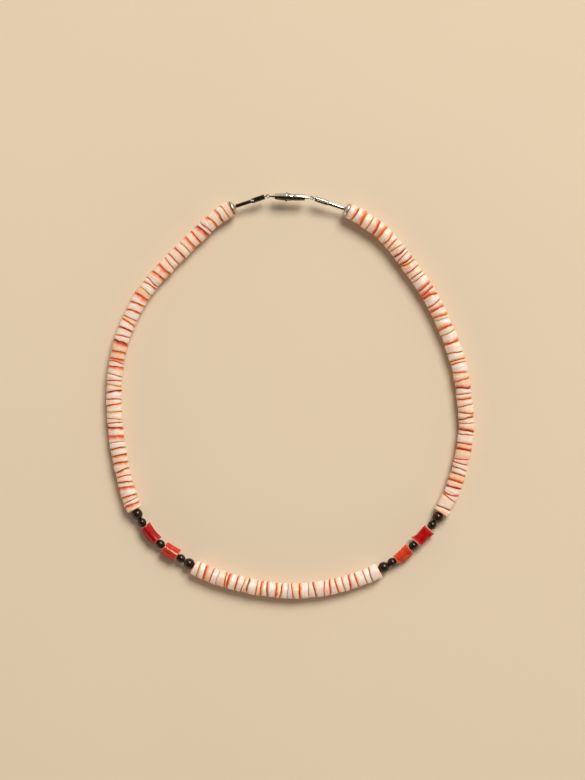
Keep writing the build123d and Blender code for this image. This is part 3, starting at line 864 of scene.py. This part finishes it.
class CHOKER_OT_coral(bpy.types.Operator):
    """Builds the four coral pieces, each its own form."""

    bl_idname = "choker.coral"
    bl_label = "Coral"

    def execute(self, context):
        look = settings().coral
        for number, (node, form) in enumerate(CORAL_FORMS.items()):
            points, triangles = cad_mesh(node)
            first, normal, first_ring = flat_face(points, triangles)
            second, _, second_ring = flat_face(points, triangles, facing=-normal)
            start = self.bore_middle(first_ring, first)
            end = self.bore_middle(second_ring, second)
            if clockwise(end - start, start) @ (end - start) < 0:
                start, end = end, start
            axes = seat_axes(end - start)
            along, radial = from_axis(points, start, axes[2])
            girth = np.abs((points - start) @ axes[1]).max() / max(row[3] for row in form["sections"])
            reach = look.reach / MM
            local, faces, pale = self.surface(form, girth, along.max() + 2 * reach, radial.min(), look)
            local[..., 2] -= reach
            add_piece(node.replace("coral", "coral_piece"), seated(local, start, axes), [faces],
                      self.coral_material(node, form, look), [node],
                      {"place": local + CORAL_STEP * number, "pale": pale, "outward": local[..., 0] / girth})
        return {"FINISHED"}

    @staticmethod
    def bore_middle(ring, middle):
        """Middle of the bore's edge: the face's corner points nearest to its middle."""
        distance = np.linalg.norm(ring - middle, axis=1)
        return ring[distance < (distance.min() + distance.max()) / 2].mean(axis=0)

    @staticmethod
    def surface(form, girth, length_mm, bore, look):
        """Points, faces and paleness of one piece, along its axis from 0 to its length.

        Rows run from the bore out over the start face, round the worn edge, along the skin, round the far
        edge and in over the end face to the bore.
        """
        columns = 72
        angle = round_about(columns)[None]
        edge = look.edge / MM
        skin_along = np.linspace(0, 1, 34)[:, None]
        skin = coral_radius(form, girth, skin_along, angle)
        z = edge + skin_along * (length_mm - 2 * edge) + 0 * angle
        bend = np.radians([0, 30, 60])[:, None]
        start_radius = skin[:1] - edge * (1 - np.sin(bend))
        start_z = edge * (1 - np.cos(bend)) + 0 * angle
        end_radius = (skin[-1:] - edge * (1 - np.sin(bend)))[::-1]
        end_z = length_mm - start_z[::-1]
        ring = np.full((1, columns), bore)
        radius = np.concatenate([ring, (bore + start_radius[:1]) / 2, start_radius, skin, end_radius,
                                 (bore + end_radius[-1:]) / 2, ring])
        height = np.concatenate([0 * ring, 0 * ring, start_z, z, end_z, 0 * ring + length_mm,
                                 0 * ring + length_mm])
        local = np.stack([radius * np.cos(angle), radius * np.sin(angle), height], axis=-1)
        to_end = np.minimum(height, length_mm - height)
        pale = form["pale_end"] * np.exp(-to_end / PALE_FADE)
        return local, grid_faces(len(radius), columns, close_rows=True), pale

    @staticmethod
    def coral_material(node, form, look):
        """Glossy coral with fine lengthwise grain, painted shade on its outer side away from the light, and a
        paler skin at its cut ends.
        """
        s = Shader("polished_" + node)
        place = s.attribute("place", "Vector")
        grain = s.noise(s.scaled(place, (6.0, 6.0, 0.9)), 1.0, 3.0, 0.6)
        cloud = s.noise(place, 0.6, 2.0)
        base = linear(getattr(look, form["tone"]))
        bright = tinted(base, 1.12, 0.008)
        colour = s.mix(s.ramp(cloud, 0.35, 0.7), tinted(base, 0.8), bright)
        colour = s.mix(s.ramp(grain, 0.45, 0.7, 0.0, 0.5), colour, bright)
        # Painted shade: the outer side, away from the light, takes a darker tone.
        outer = s.ramp(s.attribute("outward"), -0.1, 0.2, 0.0, form["painted_shade"])
        colour = s.mix(outer, colour, tinted(base, PAINTED_SHADE_TONE))
        ragged = s.maths("MULTIPLY", s.attribute("pale"), s.ramp(grain, 0.2, 0.7, 0.5, 1.2))
        colour = s.mix(ragged, colour, linear(look.pale))
        s.bump(grain, 0.12, 0.02 * MM)
        return s.finish(Base_Color=colour, Roughness=s.ramp(grain, 0.3, 0.8, 0.07, 0.13),
                        Specular_IOR_Level=form["gloss"], Subsurface_Weight=0.08,
                        Subsurface_Radius=(1.0, 0.2, 0.1), Subsurface_Scale=0.4 * MM)


def silver_material(name, roughness, grain, spots, pits=0.1):
    """Silver darkened where the piece's attribute says, by tarnishing and by painted dark reflection, and in
    worn spots.

    grain stretches the fine scratches along the piece's axis, spots is how dark the worn spots are, and pits
    is the strength of the scratches' relief.
    """
    look = settings().silver
    s = Shader(name)
    place = s.attribute("place", "Vector")
    wear = s.noise(place, 1.1, 4.0, 0.6)
    scratch = s.noise(s.scaled(place, (5.0, 5.0, grain)), 1.0, 3.0, 0.7)
    dark = s.maths("MULTIPLY", s.attribute("tarnish_and_shade"), s.ramp(wear, 0.25, 0.6, 0.75, 1.1))
    dark = s.maths("ADD", dark, s.ramp(s.maths("MULTIPLY_ADD", scratch, 0.5, wear), 0.8, 1.05, 0.0, spots))
    dark = s.node("ShaderNodeClamp", {"Value": dark}).outputs[0]
    colour = s.mix(dark, linear(look.silver), linear(look.tarnish_and_shade))
    s.bump(scratch, pits, 0.03 * MM)
    return s.finish(Base_Color=colour, Metallic=1.0,
                    Roughness=s.ramp(wear, 0.3, 0.8, roughness, roughness + 0.12))


def face_seat(node, side):
    """Middle and axes of a seat on a silver piece's largest flat face, and the piece's points in it.

    The seat's z runs clockwise round the loop where side is 1, and the other way where it is -1. The points
    are given by how far each is along z and how far from it.
    """
    points, triangles = cad_mesh(node)
    middle, normal, _ = flat_face(points, triangles)
    axes = seat_axes(clockwise(normal, middle) * side)
    return middle, axes, *from_axis(points, middle, axes[2])


def away_from_clasp(node):
    """1 for a piece on the choker's right, -1 for one on its left."""
    return 1.0 if node.endswith("right") else -1.0


def painted_shade_inward(local, axes, seat, start, full):
    """How far each point of a turned form is on the side that lies against the neck, from 0 to 1.

    It is the sideways direction towards the loop's middle, eased in from start to full, both given as
    shares of the radius. It marks a painted dark reflection, and fades out again over the underside.
    """
    radius, angle = polar(local)
    inwards = -np.sign(axes[0] @ seat) * local[..., 0] / np.maximum(radius, SAME)
    share = np.clip((inwards - start) / (full - start), 0, 1)
    shade_spared = np.clip((0.1 - np.sin(angle)) / 0.5, 0, 1)
    return smooth(share) * (1 - shade_spared)


def wire_ring(middle, radius, wire, across):
    """Points and faces of an eye: a small circle carried round a large one, which lies along z and across."""
    z = np.array([0.0, 0.0, 1.0])
    around = round_about(EYE_COLUMNS)[:, None, None]
    about = round_about(EYE_ROWS)[None, :, None]
    out = z * np.cos(around) + across * np.sin(around)
    local = (radius + wire / 2 * np.cos(about)) * out + wire / 2 * np.sin(about) * np.cross(z, across)
    return (z * middle + local).reshape(-1, 3), grid_faces(EYE_COLUMNS, EYE_ROWS, close_rows=True, turn=True)


def with_eye(rings, ends, tarnish_and_shade, *eye_sizes):
    """Points, faces and darkening, by tarnishing and painted dark reflection, of a form that is closed on z
    at its two ends, and of its wire eye.
    """
    body, faces = closed_off(rings, *ends)
    eye, eye_faces = wire_ring(*eye_sizes)
    tarnish_and_shade = np.concatenate([tarnish_and_shade.ravel(), POLE_TARNISH, np.full(len(eye), EYE_TARNISH)])
    return np.concatenate([body, eye]), faces + [eye_faces + len(body)], tarnish_and_shade


class CHOKER_OT_end_caps(bpy.types.Operator):
    """Builds the two domed end caps."""

    bl_idname = "choker.end_caps"
    bl_label = "End caps"

    def execute(self, context):
        look = settings().silver
        material = silver_material("pitted_silver", roughness=0.42, grain=5.0, spots=0.7, pits=0.5)
        for number, (node, rim_shade) in enumerate(CAP_RIM_SHADE.items()):
            back, axes, along, radial = face_seat(node, away_from_clasp(node))
            rim = radial.max()
            bore = radial.min()
            thick = -along.min()
            collar = radial[along < SAME - thick].max()
            shoulder = -along[radial > rim - SAME].min()
            bend = np.linspace(0, math.pi / 2, 9)
            dome = np.stack([
                collar + (rim - collar) * np.sin(bend) ** 0.9,
                CAP_FOOT - thick + (thick - shoulder - CAP_FOOT) * (1 - np.cos(bend)) ** 0.9,
            ], axis=-1)
            corners = np.concatenate([[(bore, -thick), (collar, -thick)], dome, [(rim, 0.0), (bore, 0.0)]])
            local = turned(rounded(corners, look.edge / MM), columns=48)
            reach, angle = polar(local)
            # The crown is hammered: two crossed waves lift and lower it.
            hammered = HAMMERING * np.cos(5 * angle + 2 * number) * np.cos(4 * local[..., 2] + 3 * angle)
            local[..., 2] += hammered * (reach > collar) * (local[..., 2] < -shoulder)
            at_tube = np.exp(-np.abs(reach - collar) / 0.2)
            # Painted shadow in a band round the rim, strongest on the left cap.
            at_rim = rim_shade * np.exp(-((local[..., 2] + 0.5 * shoulder) / (0.6 * shoulder)) ** 2)
            tarnish_and_shade = np.clip(at_tube + at_rim * (reach > 0.9 * rim), 0, 1)
            faces = grid_faces(*local.shape[:2], close_rows=True)
            add_piece(node.replace("end_cap", "domed_cap"), seated(local, back, axes), [faces], material,
                      [node], {"place": local + CAP_STEP * number, "tarnish_and_shade": tarnish_and_shade})
        return {"FINISHED"}


class CHOKER_OT_crimp_tubes(bpy.types.Operator):
    """Builds the two rolled crimp tubes with their eyes."""

    bl_idname = "choker.crimp_tubes"
    bl_label = "Crimp tubes"

    def execute(self, context):
        look = settings().silver
        material = silver_material("rolled_silver", roughness=0.1, grain=1.2, spots=0.3)
        for number, (node, all_over) in enumerate(TUBE_PAINTED_DARK.items()):
            face, axes, along, radial = face_seat(node, away_from_clasp(node))
            wire = look.eye_wire / MM
            eye_radius = (-along.min() - wire / 2) / 2
            wide = radial.max()
            tip = along.max()
            narrow = radial[along > tip - SAME].max()
            bore = radial[along > tip - SAME].min()
            wide_to = along[radial > wide - SAME].max()
            narrow_from = along[(np.abs(radial - narrow) < SAME) & (along > wide_to)].min()
            bore_from = along[(radial < bore + SAME) & (along > narrow_from)].min()
            rings, seam = self.rolled(wide, narrow, bore, (wide_to, narrow_from, bore_from, tip), look)
            # The painted dark reflection is left off the top of the shoulder, so a highlight shows there.
            shoulder = np.exp(-((rings[..., 2] - narrow_from + 0.25) / 0.5) ** 2)
            shade_spared = 1.15 * shoulder * np.clip(rings[..., 1] / narrow, 0, 1) ** 2
            # Painted dark reflection on the side against the neck, and all over the left tube but for the top
            # of its shoulder.
            tarnish_and_shade = np.maximum(painted_shade_inward(rings, axes, face, *TUBE_DARK),
                                 all_over * np.clip(1 - shade_spared, 0, 1))
            local, faces, tarnish_and_shade = with_eye(rings, (0, bore_from), np.maximum(tarnish_and_shade, seam), -eye_radius,
                                             eye_radius, wire, UPRIGHT)
            add_piece(node.replace("crimp_tube", "rolled_tube"), seated(local, face, axes), faces, material,
                      [node], {"place": local + TUBE_STEP * number, "tarnish_and_shade": tarnish_and_shade})
        return {"FINISHED"}

    @staticmethod
    def rolled(wide, narrow, bore, stations, look):
        """Rings of the rolled tube along z from the flat end, and how far each point is in the seam.

        The radius falls from wide to narrow over the shoulder, and a shallow pinch nips the narrow part.
        Along the top of the wide part it falls by the seam's depth between two sharp lips, where the sheet's
        two edges don't meet. The columns stand closer together there.
        """
        wide_to, narrow_from, bore_from, tip = stations
        edge = look.edge / MM
        lip = look.seam_width / MM / 2 / wide
        step = np.linspace(wide_to, narrow_from, 6)[1:-1]
        wide_rows = np.linspace(edge, wide_to, 14)
        narrow_rows = np.linspace(narrow_from, tip - edge, 12)
        z = np.concatenate([[0, 0.3 * edge], wide_rows, step, narrow_rows,
                            [tip - 0.3 * edge, tip, tip, bore_from]])
        share = np.clip((z - wide_to) / (narrow_from - wide_to), 0, 1)
        radius = wide + (narrow - wide) * smooth(share)
        radius[[0, 1]] -= edge, 0.35 * edge
        radius[[-4, -3]] -= 0.35 * edge, edge
        radius[-2:] = bore
        near = lip * np.array([0, 0.5, 0.85, 0.95, 1.05, 1.2, 1.5])
        past = np.concatenate([near, np.linspace(1.5 * lip, 2 * math.pi - 1.5 * lip, 44)[1:-1],
                               2 * math.pi - near[:0:-1]])
        angle = math.pi / 2 + past
        from_seam = np.minimum(past, 2 * math.pi - past) / lip
        inside = np.interp(from_seam, [0.85, 0.95, 1.05, 1.2], [1.0, 0.8, 0.1, 0.0])
        open_to = np.clip((wide_to - SEAM_STOP - z) / SEAM_FADE, 0, 1)
        seam = open_to[:, None] * inside
        pinch = np.exp(-((z - narrow_from - PINCH_PLACE) / PINCH_REACH) ** 2) * (radius > bore)
        pinch = PINCH_DEPTH * pinch[:, None] * np.abs(np.sin(angle)) ** 3
        reach = radius[:, None] - look.seam_depth / MM * seam - pinch
        along = z[:, None] + 0 * reach
        return np.stack([reach * np.cos(angle), reach * np.sin(angle), along], axis=-1), seam


class CHOKER_OT_clasp(bpy.types.Operator):
    """Builds the two halves of the barrel clasp with their shanks and eyes."""

    bl_idname = "choker.clasp"
    bl_label = "Clasp"

    def execute(self, context):
        look = settings().silver
        brushed = silver_material("brushed_silver", roughness=0.3, grain=0.6, spots=0.8, pits=0.25)
        bright = silver_material("bright_silver", roughness=0.08, grain=2.0, spots=0.25)
        self.build("clasp_plug", "screw_plug", 1.0, brushed, PLUG_DARK, look)
        self.build("clasp_sleeve", "screw_sleeve", -1.0, bright, SLEEVE_DARK, look)
        return {"FINISHED"}

    def build(self, node, name, side, material, dark_from, look):
        """One half, z 0 at its joint face and the eye towards -z, turned round for the sleeve."""
        middle, axes, along, radial = face_seat(node, side)
        wire = look.eye_wire / MM
        eye_radius = radial[along < along.min() + 3 * wire].max() - wire / 2
        shank_tip = along.min() + wire / 2 + 2 * eye_radius
        widest = radial.max()
        corners = self.profile(side, radial, along, eye_radius + wire, shank_tip, look)
        rings = turned(rounded(corners, look.edge / MM, closed=False), columns=56)
        if side > 0:
            self.mill(rings, widest)
        reach, _ = polar(rings)
        joint = np.exp(-np.abs(rings[..., 2]) / 0.1) * (reach < widest)
        # Painted dark reflection on the side against the neck, away from the light, and tarnishing at the
        # joint.
        tarnish_and_shade = np.maximum(painted_shade_inward(rings, axes, middle, *dark_from), joint)
        ends = (corners[0][1], corners[-1][1])
        local, faces, tarnish_and_shade = with_eye(rings, ends, tarnish_and_shade, shank_tip - eye_radius, eye_radius, wire,
                                         LEVEL)
        add_piece(name, seated(local, middle, axes), faces, material, [node],
                  {"place": local, "tarnish_and_shade": tarnish_and_shade})

    @staticmethod
    def profile(side, radial, along, past_eye, shank_tip, look):
        """Corners (radius, z) of a half's profile, from its axis at the shank's tip round to the axis again.

        The sizes are those of the CAD solid's rings of points. The sleeve also gets a ring groove.
        """
        def ring(z):
            """Radii of the solid's points at one place along it."""
            return radial[np.abs(along - z) < SAME]

        end = along[radial > past_eye].min()
        end_radius = ring(end).max()
        widest = radial.max()
        bevel = look.bevel / MM
        tip = [(0.0, shank_tip), (look.shank_tip / MM / 2, shank_tip), (ring(end).min(), end),
               (end_radius - bevel, end), (end_radius, end + bevel)]
        if side > 0:
            collar_from = along[radial > widest - SAME].min()
            stud, stud_to = ring(0.0).min(), along.max()
            return tip + [(ring(collar_from).min(), collar_from), (widest, collar_from), (widest, 0.0),
                          (stud, 0.0), (stud, stud_to), (0.0, stud_to)]
        bore = ring(0.0).min()
        bore_to = along[(np.abs(radial - bore) < SAME) & (along < -0.5)].min()
        groove = look.groove_place / MM + look.groove_width / MM * np.array([0.5, 0.25, -0.25, -0.5])
        barrel = widest + (end_radius - widest) * groove / -end
        barrel[1:3] -= look.groove / MM
        return tip + list(zip(barrel, -groove)) + [(widest, 0.0), (bore, 0.0), (bore, bore_to),
                                                   (0.0, bore_to)]

    @staticmethod
    def mill(rings, widest):
        """Cuts fine notches into the plug's collar: its radius falls along a cosine of the angle."""
        reach, angle = polar(rings)
        on_collar = (reach > widest - SAME) & (rings[..., 2] < -SAME)
        rings[..., :2] *= (1 - NOTCH_DEPTH * (0.5 + 0.5 * np.cos(NOTCHES * angle)) * on_collar)[..., None]


class CHOKER_OT_thread(bpy.types.Operator):
    """Gives the thread its twisted, waxed finish."""

    bl_idname = "choker.thread"
    bl_label = "Thread"

    def execute(self, context):
        look = settings().thread
        s = Shader("waxed_thread")
        place = s.node("ShaderNodeTexCoord").outputs["Object"]
        twist = s.node("ShaderNodeTexWave", {"Vector": place, "Scale": 900.0, "Distortion": 1.5},
                       wave_type="BANDS", bands_direction="DIAGONAL").outputs["Fac"]
        colour = s.mix(twist, linear(look.groove), linear(look.strand))
        s.bump(twist, 0.5, 0.05 * MM)
        material = s.finish(Base_Color=colour, Roughness=0.6)
        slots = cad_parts["thread"].material_slots
        if not slots:
            raise RuntimeError("the thread has no material slot")
        for one in slots:
            one.material = material
        return {"FINISHED"}


class CHOKER_OT_stage(bpy.types.Operator):
    """Lays the floor, sets the soft light and places the camera straight above."""

    bl_idname = "choker.stage"
    bl_label = "Floor, light and camera"

    def execute(self, context):
        look = settings().stage
        self.floor(look)
        self.light(look)
        self.world(look)
        self.camera(look)
        context.scene.view_settings.view_transform = "Standard"
        context.scene.view_settings.look = "None"
        return {"FINISHED"}

    @staticmethod
    def floor(look):
        """A plain pale floor just under the choker."""
        half = look.floor_size / 2
        mesh = bpy.data.meshes.new("floor")
        mesh.from_pydata([(-half, -half, 0), (half, -half, 0), (half, half, 0), (-half, half, 0)], [],
                         [(0, 1, 2, 3)])
        s = Shader("pale_floor")
        place = s.node("ShaderNodeTexCoord").outputs["Object"]
        cloud = s.noise(place, 9.0, 2.0)
        base = linear(look.floor)
        mesh.materials.append(s.finish(Base_Color=s.mix(cloud, tinted(base, 0.96), base), Roughness=0.85,
                                       Specular_IOR_Level=0.2))
        floor = bpy.data.objects.new("floor", mesh)
        bpy.context.scene.collection.objects.link(floor)

    @staticmethod
    def light(look):
        """One round soft light from the upper right."""
        data = bpy.data.lights.new("soft_light", "AREA")
        data.shape = "DISK"
        data.size = look.light_size
        data.energy = look.light_power
        data.color = look.light_tone
        lamp = bpy.data.objects.new("soft_light", data)
        axes = seat_axes(LIGHT_FROM)
        lamp.location = axes[2] * look.light_distance
        lamp.rotation_euler = Matrix(axes.T.tolist()).to_euler()
        bpy.context.scene.collection.objects.link(lamp)

    @staticmethod
    def world(look):
        """The room: walls brightest low down opposite the light, dark overhead, and the light's glow."""
        world = bpy.data.worlds.new("room")
        world.use_nodes = True
        w = Nodes(world.node_tree)
        direction = w.node("ShaderNodeTexCoord").outputs["Generated"]
        height = w.node("ShaderNodeSeparateXYZ", {0: direction}).outputs["Z"]
        near_light = w.node("ShaderNodeVectorMath", {0: direction, 1: unit(LIGHT_FROM)},
                            operation="DOT_PRODUCT").outputs["Value"]
        foot = w.mix(1.0, w.toned(height, WALL_FOOT), w.ramp(near_light, *OPPOSITE_LIGHT), "MULTIPLY")
        walls = w.mix(1.0, w.toned(height, ROOM_BY_HEIGHT), foot, "ADD")
        background = world.node_tree.nodes["Background"]
        w.put(background.inputs[0], w.mix(1.0, walls, w.toned(near_light, ROOM_BY_LIGHT), "ADD"))
        w.put(background.inputs[1], look.sky)
        bpy.context.scene.world = world

    @staticmethod
    def camera(look):
        """A long lens straight above, framed as the picture is."""
        data = bpy.data.cameras.new("camera")
        data.sensor_fit = "VERTICAL"
        data.sensor_height = SENSOR_HEIGHT
        data.lens = SENSOR_HEIGHT * look.camera_height / (PHOTO_HEIGHT * look.pixel)
        camera = bpy.data.objects.new("camera", data)
        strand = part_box("shell_discs_front")[1].z / 2
        camera.location = (
            (PHOTO_WIDTH / 2 - PHOTO_MIDDLE[0]) * look.pixel,
            (PHOTO_MIDDLE[1] - PHOTO_HEIGHT / 2) * look.pixel,
            strand + look.camera_height,
        )
        bpy.context.scene.collection.objects.link(camera)
        bpy.context.scene.camera = camera


class ChokerSettings(bpy.types.PropertyGroup):
    """All of the choker's settings."""

    shell: bpy.props.PointerProperty(name="Shell", description="Shell discs", type=ShellSettings)
    bead: bpy.props.PointerProperty(name="Beads", description="Dark beads", type=BeadSettings)
    coral: bpy.props.PointerProperty(name="Coral", description="Coral pieces", type=CoralSettings)
    silver: bpy.props.PointerProperty(name="Silver", description="Silver pieces", type=SilverSettings)
    thread: bpy.props.PointerProperty(name="Thread", description="Thread", type=ThreadSettings)
    stage: bpy.props.PointerProperty(name="Stage", description="Floor, light, camera", type=StageSettings)


OPERATORS = (CHOKER_OT_shell_strands, CHOKER_OT_dark_beads, CHOKER_OT_coral, CHOKER_OT_end_caps,
             CHOKER_OT_crimp_tubes, CHOKER_OT_clasp, CHOKER_OT_thread, CHOKER_OT_stage)


class CHOKER_PT_pieces(bpy.types.Panel):
    """Lists the settings and the operators that build the choker."""

    bl_idname = "CHOKER_PT_pieces"
    bl_label = "Beaded choker"
    bl_space_type = "VIEW_3D"
    bl_region_type = "UI"
    bl_category = "Choker"

    def draw(self, context):
        for group in ChokerSettings.__annotations__:
            box = self.layout.box()
            values = getattr(context.scene.choker, group)
            for key in values.__annotations__:
                box.prop(values, key)
        for operator in OPERATORS:
            self.layout.operator(operator.bl_idname)


CLASSES = (ShellSettings, BeadSettings, CoralSettings, SilverSettings, ThreadSettings, StageSettings,
           ChokerSettings, *OPERATORS, CHOKER_PT_pieces)


def register():
    """Registers the classes and the settings."""
    for one in CLASSES:
        bpy.utils.register_class(one)
    bpy.types.Scene.choker = bpy.props.PointerProperty(type=ChokerSettings)


def unregister():
    """Takes the settings and the classes away again."""
    del bpy.types.Scene.choker
    for one in reversed(CLASSES):
        bpy.utils.unregister_class(one)


def main():
    """Registers the add-on and builds the choker and its stage."""
    register()
    for operator in OPERATORS:
        group, name = operator.bl_idname.split(".")
        getattr(getattr(bpy.ops, group), name)()


if __name__ == "__main__":
    main()
